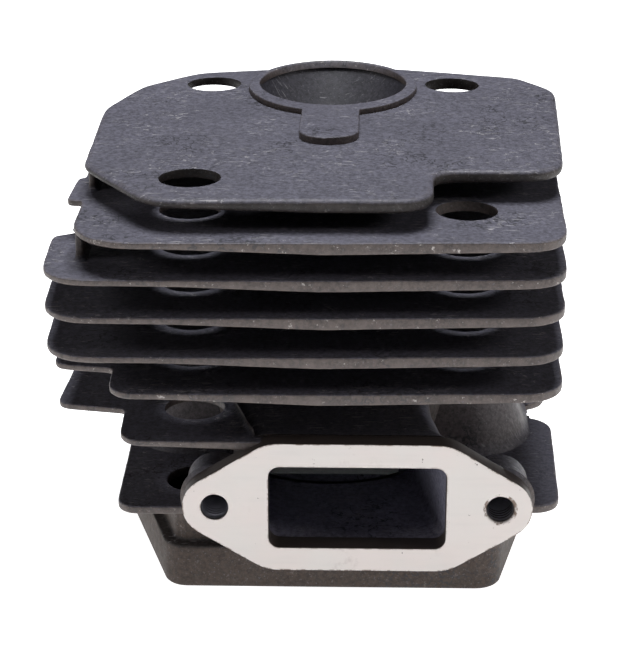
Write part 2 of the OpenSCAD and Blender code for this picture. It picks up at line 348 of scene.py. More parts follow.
def slab(b, plane, loops, top, bottom, rims, grid=4.0, lean=None):
    """A plate with rounded rims round every outline.

    top and bottom give the two faces' heights at (u, v). rims holds one dictionary per
    outline: face and back are the rim radii, worn is how rubbed the rim is. Where meets
    says that the rim lies on another wall, a fillet of radius root climbs onto it.
    """
    face_rings = []
    back_rings = []
    face_loops = []
    back_loops = []
    for number, (loop, rim) in enumerate(zip(loops, rims)):
        steps = rim.get("steps", 4)
        root = rim.get("root", 0)
        meets = rim.get("meets")
        touching = np.array([bool(meets and meets(u, v)) for u, v in loop])
        shift = lean if lean and number > 0 else None
        climb = np.where(touching, -1.0, 1.0)
        worn = np.where(touching, 0.0, rim.get("worn", 0.0))
        rows = []
        for side, radius in (("face", rim["face"]), ("back", rim["back"])):
            radius = np.where(touching, root, radius)
            part = [(radius + rim.get("support", 0.35), radius * 0, worn * 0)]
            for gap, drop in rounded_profile(1.0, steps):
                part.append((radius * gap, radius * drop * climb, worn))
            if side == "back":
                part.reverse()
            rows += [(side, *row) for row in part]
        rings = []
        flats = []
        for side, gaps, drops, marks in rows:
            ring = np.array(loop) + inward_normals(loop) * gaps[:, None]
            flats.append([tuple(p) for p in ring])
            indices = []
            for (u, v), drop, mark in zip(ring, drops, marks):
                if side == "face":
                    w = top(u, v) - drop
                else:
                    w = bottom(u, v) + drop
                if shift:
                    u, v = shift(u, v, w)
                indices.append(b.add(place(plane, u, v, w), mark))
            rings.append(indices)
        for first, second in zip(rings, rings[1:]):
            b.bridge(second, first)
        face_rings.append(rings[0])
        back_rings.append(rings[-1])
        face_loops.append(flats[0])
        back_loops.append(flats[-1])
    close_face(b, plane, face_loops, face_rings, top, grid, False)
    close_face(b, plane, back_loops, back_rings, bottom, grid, True)


def close_face(b, plane, loops, rings, height, grid, flip):
    """Fills the flat of a plate between its outlines."""
    coords = []
    edges = []
    known = []
    for loop, ring in zip(loops, rings):
        first = len(coords)
        count = len(loop)
        coords += [Vector(p) for p in loop]
        known += ring
        edges += [(first + i, first + (i + 1) % count) for i in range(count)]
    for p in fill_points(loops, grid):
        coords.append(Vector((p[0], p[1])))
        known.append(None)
    found = delaunay_2d_cdt(coords, edges, [], 1, 1e-6)
    new_points, _, faces, origins = found[0], found[1], found[2], found[3]
    index = []
    for p, origin in zip(new_points, origins):
        match = None
        for o in origin:
            if known[o] is not None:
                match = known[o]
                break
        if match is None:
            match = b.add(place(plane, p.x, p.y, height(p.x, p.y)))
        index.append(match)
    middles = []
    for face in faces:
        middles.append([sum(new_points[i][k] for i in face) / len(face) for k in (0, 1)])
    middles = np.array(middles)
    metal = inside_mask(middles, loops)
    for face, solid in zip(faces, metal):
        corners = [index[i] for i in face]
        if not solid or len(set(corners)) < 3:
            continue
        b.faces.append(tuple(reversed(corners)) if flip else tuple(corners))


def circle(radius, count):
    """Points of a circle about the origin, anticlockwise."""
    return [
        (radius * math.cos(2 * math.pi * i / count), radius * math.sin(2 * math.pi * i / count))
        for i in range(count)
    ]


def axis_frame(direction):
    """Two directions square to an axis."""
    axis = Vector(direction).normalized()
    helper = Vector((1, 0, 0)) if abs(axis.x) < 0.9 else Vector((0, 1, 0))
    side = (helper - axis * helper.dot(axis)).normalized()
    return side, axis.cross(side)


def turned(b, origin, direction, profile, count=64, worn=None, close=False):
    """Surface turned round an axis; profile rows are (distance along axis, radius)."""
    side, other = axis_frame(direction)
    axis = Vector(direction).normalized()
    origin = Vector(origin)
    rings = []
    for k, (along, radius) in enumerate(profile):
        mark = worn[k] if worn else 0.0
        points = []
        for c, s in circle(1.0, count):
            points.append(origin + axis * along + (side * c + other * s) * radius)
        rings.append(b.ring(points, mark))
    for first, second in zip(rings, rings[1:]):
        b.bridge(first, second)
    if close:
        b.bridge(rings[-1], rings[0])
    return rings


def rounded_rect(x0, x1, z0, z1, radius, steps=6):
    """Rounded rectangle as an anticlockwise list of points."""
    radius = min(radius, (x1 - x0) / 2 - 0.01, (z1 - z0) / 2 - 0.01)
    corners = [
        (x1 - radius, z1 - radius, 0),
        (x0 + radius, z1 - radius, 90),
        (x0 + radius, z0 + radius, 180),
        (x1 - radius, z0 + radius, 270),
    ]
    points = []
    for cx, cz, start in corners:
        for i in range(steps + 1):
            a = math.radians(start + 90 * i / steps)
            points.append((cx + radius * math.cos(a), cz + radius * math.sin(a)))
    return points


def thread_profile(start, end, core, depth, pitch):
    """Profile rows of a tapped hole: a row of sharp grooves outside the core radius."""
    rows = []
    along = start
    step = pitch if end > start else -pitch
    while abs(along - start) < abs(end - start):
        rows.append((along, core))
        rows.append((along + step * 0.12, core))
        rows.append((along + step * 0.5, core + depth))
        rows.append((along + step * 0.62, core + depth))
        along += step
    rows.append((end, core))
    return rows


def finish_piece(obj, nodes):
    """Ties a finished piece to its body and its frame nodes."""
    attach(obj, BODY)
    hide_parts(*nodes)
    return obj


# ---------------------------------------------------------------- materials


def new_material(name):
    """Empty node material with its output and main shader."""
    mat = bpy.data.materials.new(name)
    mat.use_nodes = True
    tree = mat.node_tree
    tree.nodes.clear()
    out = tree.nodes.new("ShaderNodeOutputMaterial")
    shader = tree.nodes.new("ShaderNodeBsdfPrincipled")
    tree.links.new(shader.outputs["BSDF"], out.inputs["Surface"])
    return mat, tree, shader


def node(tree, kind, **values):
    """New node; keyword names set its own properties or its input sockets."""
    item = tree.nodes.new(kind)
    for key, value in values.items():
        if hasattr(item, key):
            setattr(item, key, value)
        else:
            item.inputs[key.replace("_", " ")].default_value = value
    return item


def grain(tree, coords, scale, detail, roughness=0.5, stretch=None):
    """Noise output at a scale in cycles per metre."""
    source = coords
    if stretch:
        mapping = node(tree, "ShaderNodeMapping")
        mapping.inputs["Scale"].default_value = stretch[0]
        mapping.inputs["Rotation"].default_value = stretch[1]
        tree.links.new(coords, mapping.inputs["Vector"])
        source = mapping.outputs["Vector"]
    tex = node(tree, "ShaderNodeTexNoise", Scale=scale, Detail=detail, Roughness=roughness)
    tree.links.new(source, tex.inputs["Vector"])
    return tex.outputs["Fac"]


def window(tree, value, low, high, top=1.0):
    """Turns a value into 0 below low, top above high."""
    item = node(tree, "ShaderNodeMapRange", clamp=True)
    item.inputs["From Min"].default_value = low
    item.inputs["From Max"].default_value = high
    item.inputs["To Min"].default_value = 0.0
    item.inputs["To Max"].default_value = top
    tree.links.new(value, item.inputs["Value"])
    return item.outputs["Result"]


def times(tree, a, b):
    """Product of two values; b may be a plain number."""
    item = node(tree, "ShaderNodeMath", operation="MULTIPLY")
    tree.links.new(a, item.inputs[0])
    if isinstance(b, (int, float)):
        item.inputs[1].default_value = b
    else:
        tree.links.new(b, item.inputs[1])
    return item.outputs[0]


def plus(tree, a, b):
    """Sum of two values, held between 0 and 1."""
    item = node(tree, "ShaderNodeMath", operation="ADD", use_clamp=True)
    tree.links.new(a, item.inputs[0])
    tree.links.new(b, item.inputs[1])
    return item.outputs[0]


def ridge(tree, value, centre, width):
    """1 where a value lies close to centre, falling to 0 at width."""
    item = node(tree, "ShaderNodeMath", operation="COMPARE")
    tree.links.new(value, item.inputs[0])
    item.inputs[1].default_value = centre
    item.inputs[2].default_value = width
    return item.outputs[0]


def multiply_colour(tree, first, second):
    """Product of two colours."""
    item = node(tree, "ShaderNodeMix", data_type="RGBA", blend_type="MULTIPLY")
    item.inputs["Factor"].default_value = 1.0
    tree.links.new(first, item.inputs[6])
    tree.links.new(second, item.inputs[7])
    return item.outputs[2]


def blend_colour(tree, factor, first, second):
    """Colour mix; each colour is a socket or a tuple."""
    item = node(tree, "ShaderNodeMix", data_type="RGBA")
    tree.links.new(factor, item.inputs["Factor"])
    for socket, colour in ((item.inputs[6], first), (item.inputs[7], second)):
        if isinstance(colour, bpy.types.NodeSocket):
            tree.links.new(colour, socket)
        else:
            socket.default_value = (*colour[:3], 1.0)
    return item.outputs[2]


def upright(tree, coords):
    """1 on flat tops, 0 on walls and undersides."""
    split = node(tree, "ShaderNodeSeparateXYZ")
    tree.links.new(coords.outputs["Normal"], split.inputs[0])
    return window(tree, split.outputs["Z"], 0.25, 0.75)


def hanging(tree, coords):
    """1 on undersides, 0 on walls and tops."""
    split = node(tree, "ShaderNodeSeparateXYZ")
    tree.links.new(coords.outputs["Normal"], split.inputs[0])
    turned_over = node(tree, "ShaderNodeMath", operation="MULTIPLY")
    turned_over.inputs[1].default_value = -1.0
    tree.links.new(split.outputs["Z"], turned_over.inputs[0])
    return window(tree, turned_over.outputs[0], 0.45, 0.9)


def coated_material(name, top_colour_painted_light, side_colour_painted_warm_light, settings, matt=0.0):
    """Dark satin coating over a die casting: fine grain, scuffs and rubbed rims, with painted light
    and shade: cool bluish tops, warm brownish walls, darkened undersides.
    """
    mat, tree, shader = new_material(name)
    links = tree.links
    coords = node(tree, "ShaderNodeTexCoord")
    place_of = coords.outputs["Object"]
    flat = upright(tree, coords)
    # painted light: upward faces take a cool bluish colour for light reflected from above, walls a
    # warm brownish one for bounce light from the floor
    base = blend_colour(tree, flat, side_colour_painted_warm_light, top_colour_painted_light)
    # painted shade: every underside is darkened to 0.3 of the wall colour
    painted_underside_shade = tuple(c * 0.3 for c in side_colour_painted_warm_light)
    base = blend_colour(tree, hanging(tree, coords), base, painted_underside_shade)

    cloud = grain(tree, place_of, 55.0, 3.0)
    shade = window(tree, cloud, 0.3, 0.7, 0.55)
    paler = tuple(c * 1.28 for c in top_colour_painted_light)
    base = blend_colour(tree, times(tree, shade, flat), base, paler)

    mottle = window(tree, grain(tree, place_of, 1150.0, 3.0, 0.75), 0.36, 0.64)
    tones = blend_colour(tree, mottle, (0.62, 0.62, 0.62), (1.4, 1.4, 1.4))
    base = multiply_colour(tree, base, tones)
    speck = grain(tree, place_of, 2100.0, 2.0, 0.7)
    base = blend_colour(tree, window(tree, speck, 0.6, 0.72, 0.5), base, settings.speck_colour)

    # curled dark marks where the metal ran cold
    curl = ridge(tree, grain(tree, place_of, 330.0, 2.0, 0.55), 0.5, 0.02)
    where = window(tree, grain(tree, place_of, 62.0, 2.0), 0.55, 0.62, 0.8)
    base = blend_colour(tree, times(tree, curl, where), base, (0.022, 0.022, 0.028))

    # scuffs and short scratches gathered in a few worn areas
    patch = window(tree, grain(tree, place_of, 85.0, 3.0, 0.6), 0.44, 0.58)
    marks = times(tree, window(tree, grain(tree, place_of, 560.0, 4.0, 0.8), 0.6, 0.67), patch)
    for turn, seed in ((0.7, 1.0), (-0.8, 1.35), (1.5, 1.7)):
        stretch = ((1.0 * seed, 8.0 * seed, 1.0), (0.0, 0.0, turn))
        streak = window(tree, grain(tree, place_of, 230.0, 1.0, 0.5, stretch), 0.7, 0.725)
        marks = plus(tree, marks, times(tree, streak, times(tree, patch, 0.9)))
    marks = times(tree, times(tree, marks, settings.scuffs), flat)
    base = blend_colour(tree, marks, base, (0.36, 0.35, 0.37))

    # rims rubbed through to a brownish grey and, in spots, to bare metal
    worn = node(tree, "ShaderNodeAttribute", attribute_name="worn").outputs["Fac"]
    rub = window(tree, grain(tree, place_of, 330.0, 4.0, 0.7), 0.42, 0.66)
    base = blend_colour(tree, times(tree, times(tree, worn, rub), 0.55), base, (0.125, 0.1, 0.09))
    spot = window(tree, grain(tree, place_of, 620.0, 4.0, 0.8), 0.625, 0.68)
    base = blend_colour(tree, times(tree, worn, spot), base, (0.45, 0.42, 0.4))
    links.new(base, shader.inputs["Base Color"])

    rough = node(tree, "ShaderNodeMapRange")
    rough.inputs["From Min"].default_value = 0.3
    rough.inputs["From Max"].default_value = 0.7
    rough.inputs["To Min"].default_value = settings.roughness - 0.06 + matt
    rough.inputs["To Max"].default_value = settings.roughness + 0.08 + matt
    links.new(grain(tree, place_of, 700.0, 3.0), rough.inputs["Value"])
    links.new(rough.outputs["Result"], shader.inputs["Roughness"])
    shader.inputs["Specular IOR Level"].default_value = 0.5

    fine = node(tree, "ShaderNodeBump", Strength=settings.grain_strength, Distance=0.00012)
    links.new(grain(tree, place_of, 2400.0, 3.0, 0.6), fine.inputs["Height"])
    coarse = node(tree, "ShaderNodeBump", Strength=0.3, Distance=0.0002)
    links.new(grain(tree, place_of, 420.0, 3.0, 0.55), coarse.inputs["Height"])
    links.new(fine.outputs["Normal"], coarse.inputs["Normal"])
    links.new(coarse.outputs["Normal"], shader.inputs["Normal"])
    return mat


def milled_material(name, colour, coat):
    """Bare milled face over a coated casting: only faces square to Y are bare."""
    mat, tree, shader = new_material(name)
    links = tree.links
    coords = node(tree, "ShaderNodeTexCoord")
    place_of = coords.outputs["Object"]
    cloud = window(tree, grain(tree, place_of, 120.0, 3.0), 0.35, 0.65, 0.7)
    warm = (colour[0], colour[1] * 0.955, colour[2] * 0.94)
    cool = (colour[0] * 0.965, colour[1] * 0.97, colour[2] * 0.955)
    base = blend_colour(tree, cloud, warm, cool)
    lines = grain(tree, place_of, 900.0, 2.0, 0.5, ((0.12, 1.0, 1.0), (0.0, 0.0, 0.0)))
    faint = tuple(c * 0.8 for c in colour)
    base = blend_colour(tree, window(tree, lines, 0.5, 0.75, 0.16), base, faint)
    blot = window(tree, grain(tree, place_of, 170.0, 4.0, 0.75), 0.6, 0.7, 0.4)
    patch = window(tree, grain(tree, place_of, 42.0, 2.0), 0.5, 0.62)
    base = blend_colour(tree, times(tree, blot, patch), base, (0.45, 0.39, 0.38))
    pit = window(tree, grain(tree, place_of, 620.0, 3.0, 0.75), 0.705, 0.735)
    base = blend_colour(tree, pit, base, (0.07, 0.055, 0.05))
    worn = node(tree, "ShaderNodeAttribute", attribute_name="worn").outputs["Fac"]
    edge = window(tree, grain(tree, place_of, 450.0, 4.0, 0.75), 0.47, 0.56)
    base = blend_colour(tree, times(tree, worn, edge), base, (0.16, 0.11, 0.085))

    split = node(tree, "ShaderNodeSeparateXYZ")
    links.new(coords.outputs["Normal"], split.inputs[0])
    square = node(tree, "ShaderNodeMath", operation="ABSOLUTE")
    links.new(split.outputs["Y"], square.inputs[0])
    bare = window(tree, square.outputs[0], 0.5, 0.92)
    speck = window(tree, grain(tree, place_of, 1900.0, 2.0, 0.7), 0.58, 0.74, 0.55)
    # the coated faces take the wall colour, which carries painted warm light
    dark = blend_colour(tree, speck, tuple(c * 0.8 for c in coat), tuple(c * 1.7 for c in coat))
    base = blend_colour(tree, bare, dark, base)
    links.new(base, shader.inputs["Base Color"])
    links.new(times(tree, bare, 0.12), shader.inputs["Metallic"])
    shader.inputs["Roughness"].default_value = 0.52
    bump = node(tree, "ShaderNodeBump", Strength=0.1, Distance=0.0001)
    links.new(lines, bump.inputs["Height"])
    dents = node(tree, "ShaderNodeBump", Strength=0.5, Distance=0.0002)
    dents.invert = True
    links.new(pit, dents.inputs["Height"])
    links.new(bump.outputs["Normal"], dents.inputs["Normal"])
    links.new(dents.outputs["Normal"], shader.inputs["Normal"])
    return mat


def honed_material(name, colour):
    """Hard bore lining with crossed honing lines."""
    mat, tree, shader = new_material(name)
    links = tree.links
    coords = node(tree, "ShaderNodeTexCoord")
    place_of = coords.outputs["Object"]
    one = grain(tree, place_of, 260.0, 2.0, 0.5, ((1.0, 1.0, 9.0), (0.0, 0.5, 0.0)))
    two = grain(tree, place_of, 260.0, 2.0, 0.5, ((1.0, 1.0, 9.0), (0.0, -0.5, 0.0)))
    lines = times(tree, plus(tree, one, two), 0.9)
    base = blend_colour(tree, window(tree, lines, 0.4, 0.9), tuple(c * 0.8 for c in colour), colour)
    links.new(base, shader.inputs["Base Color"])
    shader.inputs["Metallic"].default_value = 0.9
    shader.inputs["Roughness"].default_value = 0.33
    bump = node(tree, "ShaderNodeBump", Strength=0.15, Distance=0.0001)
    links.new(lines, bump.inputs["Height"])
    links.new(bump.outputs["Normal"], shader.inputs["Normal"])
    return mat


def floor_material(colour, glow):
    """Plain pale studio paper."""
    mat, tree, shader = new_material("studio_paper")
    coords = node(tree, "ShaderNodeTexCoord")
    fibre = grain(tree, coords.outputs["Object"], 900.0, 2.0)
    tone = tuple(c * 0.99 for c in colour)
    base = blend_colour(tree, window(tree, fibre, 0.3, 0.7), colour, tone)
    tree.links.new(base, shader.inputs["Base Color"])
    shader.inputs["Roughness"].default_value = 0.9
    shader.inputs["Emission Color"].default_value = (1.0, 1.0, 1.0, 1.0)
    # the glow fades away underneath the part
    reach = node(tree, "ShaderNodeVectorMath", operation="LENGTH")
    tree.links.new(coords.outputs["Object"], reach.inputs[0])
    spread = window(tree, reach.outputs["Value"], 0.03, 0.045, glow)
    tree.links.new(spread, shader.inputs["Emission Strength"])
    return mat


MATERIALS = {}


def material(name):
    """A shared finish, made on first use."""
    if name in MATERIALS:
        return MATERIALS[name]
    coat = bpy.context.scene.cylinder_coating
    bare = bpy.context.scene.cylinder_metal
    if name == "coating":
        made = coated_material("satin_coating", coat.top_colour_painted_light, coat.side_colour_painted_warm_light, coat)
    elif name == "coating_crown_painted_shade":
        # painted shade: the top fin's walls and rims are darkened to 0.3 of the wall colour
        rim = tuple(c * 0.3 for c in coat.side_colour_painted_warm_light)
        made = coated_material("crown_coating_painted_shade", coat.top_colour_painted_light, rim, coat)
    elif name == "coating_well_painted_shade":
        # painted shade: walls and floor of the plug well are darkened to 0.4 of the top colour
        shade = tuple(c * 0.4 for c in coat.top_colour_painted_light)
        made = coated_material("well_coating_painted_shade", shade, shade, coat)
    elif name == "coating_port":
        pale = tuple(c * 2.2 for c in coat.top_colour_painted_light)
        made = coated_material("port_skin", pale, pale, coat)
    elif name == "coating_base":
        # painted light: the base block's tops and walls differ in tone as on the other coatings, and
        # its undersides take painted shade
        made = coated_material("base_coating", coat.base_top_painted_light, coat.base_side_painted_warm_light, coat, 0.1)
    elif name == "milled":
        made = milled_material("milled_aluminium", bare.face_colour, coat.side_colour_painted_warm_light)
    elif name == "honed":
        made = honed_material("honed_lining", bare.bore_colour)
    elif name == "tapped":
        made = honed_material("tapped_hole", tuple(c * 2.0 for c in bare.bore_colour))
    else:
        raise ValueError("no finish is called " + name)
    MATERIALS[name] = made
    return made


# ---------------------------------------------------------------- pieces


# Outer walls of the exhaust duct at the flange, at mid length and on the bore axis.
DUCT_MIDDLE_Y = -33.0
DUCT_LEFT = [-14.4, -19.6, -20.6]
DUCT_RIGHT = [24.2, 21.2, 20.6]


def duct_sides(y, back):
    """Left and right outer wall of the exhaust duct at a depth behind the flange."""
    stations = [back, DUCT_MIDDLE_Y, 0.0]
    left = float(np.interp(y, stations, DUCT_LEFT))
    right = float(np.interp(y, stations, DUCT_RIGHT))
    return left, right


def wall_test(name):
    """Test for points of a plate outline that lie on the barrel or on a duct."""
    barrel = (box_mm("barrel_wall")[1][0] - box_mm("barrel_wall")[0][0]) / 2
    back = box_mm("exhaust_flange")[1][1]
    front = box_mm("exhaust_duct")
    rear = box_mm("intake_duct")
    level = box_mm(name)[1][2]
    duct_near = level < front[1][2] + 2.0
    pipe_near = level < rear[1][2] + 2.0

    def touches(u, v):
        if math.hypot(u, v) < barrel + 0.3:
            return True
        if duct_near and back + 0.9 < v < 0:
            left, right = duct_sides(v, back)
            return left - 0.6 < u < right + 0.6
        return pipe_near and v > 0 and abs(u) < rear[1][0] + 0.4

    return touches


def collar_test():
    """Test for points of the top fin's outline that run along the plug collar."""
    ring = np.array(resample(outline_loops("plug_collar", "up", 0.5)[0], 0.5))

    def touches(u, v):
        return float(np.min(np.hypot(ring[:, 0] - u, ring[:, 1] - v))) < 1.3

    return touches


def rim_styles(name, loops, face, back, worn, root):
    """Rim settings for a fin: rubbed outside, plain screwdriver holes, filleted roots."""
    access = mount("base_screws")["dims"]["spacing_x_mm"] * 0.5
    crowning = name == FINS[0]
    touches = collar_test() if crowning else wall_test(name)
    root = 0.05 if crowning else root
    styles = []
    for number, loop in enumerate(loops):
        ring = np.array(loop)
        width = ring[:, 0].max() - ring[:, 0].min()
        if number == 0:
            styles.append(
                {"face": face, "back": back, "worn": worn, "root": root, "meets": touches}
            )
        elif width < access:
            styles.append({"face": 0.1, "back": 0.15, "worn": 0.0, "steps": 2})
        elif crowning:
            styles.append({"face": 0.05, "back": 0.05, "steps": 1})
        else:
            everywhere = {"face": 0.1, "back": 0.1, "root": root, "steps": 5}
            everywhere["meets"] = lambda u, v: v < 43.0
            styles.append(everywhere)
    return styles


def build_fin(name, seed):
    """One cooling fin, thickest on the parting line, rubbed along its rim."""
    shape = bpy.context.scene.cylinder_shape
    crowning = name == FINS[0]
    rim_top = shape.crown_rim if crowning else shape.rim_top
    rim_bottom = shape.crown_rim * 0.9 if crowning else shape.rim_bottom
    extra = shape.crown_extra if crowning else 0.0
    worn = 0.35 if crowning else 1.0
    outer_loops = []
    holes = []
    for loop in outline_loops(name, "up", 1.5):
        loop = resample(loop, 0.8)
        if loop_area(loop) > 0:
            loop = relax(loop, 16 if crowning else 5)
            outer_loops.append([waver(loop, shape.edge_waver, seed)])
        else:
            holes.append(relax(loop, 2))
    for hole in holes:
        owner = 0
        for k, group in enumerate(outer_loops):
            if inside_mask(np.array([hole[0]]), [group[0]])[0]:
                owner = k
        outer_loops[owner].append(hole)
    top = height_by_x(name, 1)
    bottom = height_by_x(name, -1)
    b = Builder()
    for group in outer_loops:
        rims = rim_styles(name, group, rim_top, rim_bottom, worn, shape.root_fillet)
        slab(b, "up", group, lambda u, v: top(u), lambda u, v: bottom(u) - extra, rims, 4.0)
    finish = material("coating_crown_painted_shade" if crowning else "coating")
    return finish_piece(b.make(name + "_cast", finish), [name])


def loop_area(loop):
    """Signed area: positive for an outer outline."""
    pts = np.array(loop)
    nxt = np.roll(pts, -1, axis=0)
    return float(np.sum(pts[:, 0] * nxt[:, 1] - nxt[:, 0] * pts[:, 1]) / 2)


def plug_axis():
    """Direction of the leaning plug axis and a point on it, in millimetres."""
    return Vector(mount("plug_thread")["axis"]).normalized(), mount_mm("plug_thread")


def build_collar():
    """Raised rim round the plug well with its pitted round-ended tab."""
    low, high = box_mm("plug_collar")
    axis, _ = plug_axis()
    slope = axis.y / axis.z
    loops = outline_loops("plug_collar", "up", 0.5)
    loops = [relax(resample(loop, 0.5), 3) for loop in loops]
    rims = [
        {"face": 0.3, "back": 0.12, "worn": 0.35, "steps": 4, "support": 0.3},
        {"face": 0.3, "back": 0.1, "worn": 0.9, "steps": 4, "support": 0.2},
    ]

    def face(u, v):
        return high[2] + tab_relief(u, v, low[1])

    def lean(u, v, w):
        return u, v + (w - high[2]) * slope

    b = Builder()
    slab(b, "up", loops, face, lambda u, v: low[2] - 0.25, rims, 0.8, lean)
    return finish_piece(
        b.make("plug_collar_cast", material("coating")), ["plug_collar"]
    )


def tab_relief(u, v, tab_end):
    """Small pits and lumps left by the casting gate on the tab."""
    if v > tab_end + 17:
        return 0.0
    lump = noise.fractal(Vector((u * 0.33, v * 0.28, 4.2)), 0.6, 2.2, 3)
    pit = noise.noise(Vector((u * 0.42 + 9, v * 0.5, 7.7)))
    along = min(1.0, max(0.0, (tab_end + 17 - v) / 17))
    fade = min(1.0, along * 4) * min(1.0, max(0.0, (6.4 - abs(u)) / 1.5))
    return 0.45 * along + fade * (0.1 * lump - 0.5 * max(0.0, pit - 0.25))


def leaning_rings(b, start, axis, rows, mouth_z, centre_shift=0.0, count=96):
    """Rings of a leaning cone that starts on a level mouth and ends square to its axis.

    rows are (share of the way down, radius, extra depth past the end of the cone).
    """
    side, other = axis_frame(axis)
    depth = rows[-1][2]
    rings = []
    shift = Vector((0, centre_shift, 0))
    for share, radius, extra in rows[:-1]:
        points = []
        for c, s in circle(1.0, count):
            rim = start + shift + (side * c + other * s) * radius
            mouth = trim_along(rim, axis, mouth_z)
            foot = rim - axis * depth
            points.append(mouth + (foot - mouth) * share - axis * extra)
        rings.append(b.ring(points))
    return rings


def build_plug_well():
    """Leaning well for the spark plug: wall, floor, tapped hole and outer tube."""
    axis, _ = plug_axis()
    rim = box_mm("plug_collar")
    top = rim[1][2]
    outer_loop, mouth_loop = [np.array(loop) for loop in outline_loops("plug_collar", "up", 0.5)]
    mouth_r = (mouth_loop[:, 0].max() - mouth_loop[:, 0].min()) / 2
    mouth_y = (mouth_loop[:, 1].max() + mouth_loop[:, 1].min()) / 2
    wide = (outer_loop[:, 0].max() - outer_loop[:, 0].min()) / 2
    start = Vector((0, mouth_y, top))
    depth = 23.0
    core = mount("plug_thread")["dims"]["r_mm"]
    seat_r = core + 0.75
    # wall from the mouth down to the plug seat
    rows = [
        (0.0, mouth_r, 0), (0.25, mouth_r - 0.75, 0), (0.6, mouth_r - 1.8, 0),
        (0.9, mouth_r - 2.7, 0), (0.96, mouth_r - 3.2, 0), (1.0, mouth_r - 4.6, 0),
        (1.0, 9.4, 0), (1.0, seat_r + 0.6, 0.02), (0, 0, depth),
    ]
    b = Builder()
    inner = leaning_rings(b, start, axis, rows, top - 0.32)
    for first, second in zip(inner, inner[1:]):
        b.bridge(second, first)
    origin = start - axis * (depth + 0.02)
    threads = [(0.0, seat_r + 0.6), (-0.6, core + 0.1)]
    threads += thread_profile(-0.8, -12.6, core, 0.6, 1.25)
    turned(b, origin, axis, threads, 64)
    # tube outside it, down to the boss on the dome
    rows = [
        (0.0, wide - 0.4, 0), (0.5, wide - 1.8, 0), (1.0, 15.6, 0), (1.0, 15.0, 1.2),
        (1.0, 14.0, 1.9), (1.0, 12.0, 2.2), (1.0, 10.5, 4.0), (1.0, 10.5, 9.0), (0, 0, depth),
    ]
    tube = leaning_rings(b, start, axis, rows, rim[0][2] - 0.6, -2.2)
    for first, second in zip(tube, tube[1:]):
        b.bridge(first, second)
    b.bridge(inner[0], tube[0])
    obj = b.make("plug_well_cast", material("coating_well_painted_shade"), 50)
    fix_normals(obj)
    return finish_piece(obj, ["plug_well"])


def trim_along(point, axis, z):
    """Slides a point along an axis to a height."""
    return point + axis * ((z - point.z) / axis.z)


def fix_normals(obj):
    """Turns every face of a closed piece outwards."""
    bm = bmesh.new()
    bm.from_mesh(obj.data)
    bmesh.ops.recalc_face_normals(bm, faces=bm.faces)
    bm.to_mesh(obj.data)
    bm.free()


def build_base_plate():
    """Thin plate above the base block, open over the four screw seats."""
    low, high = box_mm("base_plate")
    loops = outline_loops("base_plate", "up", 0.5)
    loops = [relax(resample(loop, 0.8), 3) for loop in loops]
    loops[0] = waver(loops[0], 0.15, 31.0)
    touches = wall_test("base_plate")
    rims = [{"face": 0.45, "back": 0.5, "worn": 0.7, "root": 0.05, "meets": touches}]
    rims += [{"face": 0.3, "back": 0.05, "worn": 0.3, "steps": 3} for _ in loops[1:]]
    b = Builder()
    slab(b, "up", loops, lambda u, v: high[2], lambda u, v: low[2], rims, 4.0)
    return finish_piece(
        b.make("base_plate_cast", material("coating")), ["base_plate"]
    )


def bevelled_copy(node_name, width, angle=35, segments=3):
    """Copy of a frame node as one clean solid with every sharp edge rounded."""
    bm = clean_copy(node_name)
    bmesh.ops.dissolve_limit(
        bm, angle_limit=math.radians(1.5), verts=bm.verts, edges=bm.edges,
        use_dissolve_boundaries=False
    )
    sharp = [e for e in bm.edges if e.is_manifold and e.calc_face_angle() > math.radians(angle)]
    bmesh.ops.bevel(
        bm, geom=sharp, offset=width * MM, segments=segments, profile=0.5, affect="EDGES",
        clamp_overlap=False, loop_slide=True
    )
    bmesh.ops.triangulate(bm, faces=[f for f in bm.faces if len(f.verts) > 4])
    return bm


def solid_from(bm, name, finish, smooth_angle=32):
    """Turns a bmesh into a smooth-shaded object with a finish."""
    mesh = bpy.data.meshes.new(name)
    layer = bm.verts.layers.float.new("worn")
    for v in bm.verts:
        bend = max((e.calc_face_angle(0.0) for e in v.link_edges), default=0.0)
        v[layer] = min(1.0, bend / 0.4) * 0.25
    bm.to_mesh(mesh)
    bm.free()
    mesh.shade_smooth()
    mesh.set_sharp_from_angle(angle=math.radians(smooth_angle))
    mesh.materials.append(material(finish))
    obj = bpy.data.objects.new(name, mesh)
    bpy.context.scene.collection.objects.link(obj)
    return obj


def build_base_block():
    """Solid foot of the cylinder with its pocket, screw seats and softened edges."""
    obj = solid_from(bevelled_copy("base_block", 0.7), "base_block_cast", "coating_base")
    return finish_piece(obj, ["base_block"])


def transfer_outline(side, radius, corner_y, corner_x):
    """Plan outline of a transfer bulge at one height."""
    points = [(side * 12.0, -corner_y - radius)]
    for i in range(25):
        a = math.radians(-90 + 90 * i / 24)
        points.append(
            (side * (corner_x + radius * math.cos(a)), -corner_y + radius * math.sin(a))
        )
    for i in range(25):
        a = math.radians(90 * i / 24)
        points.append(
            (side * (corner_x + radius * math.cos(a)), corner_y + radius * math.sin(a))
        )
    points.append((side * 12.0, corner_y + radius))
    return points


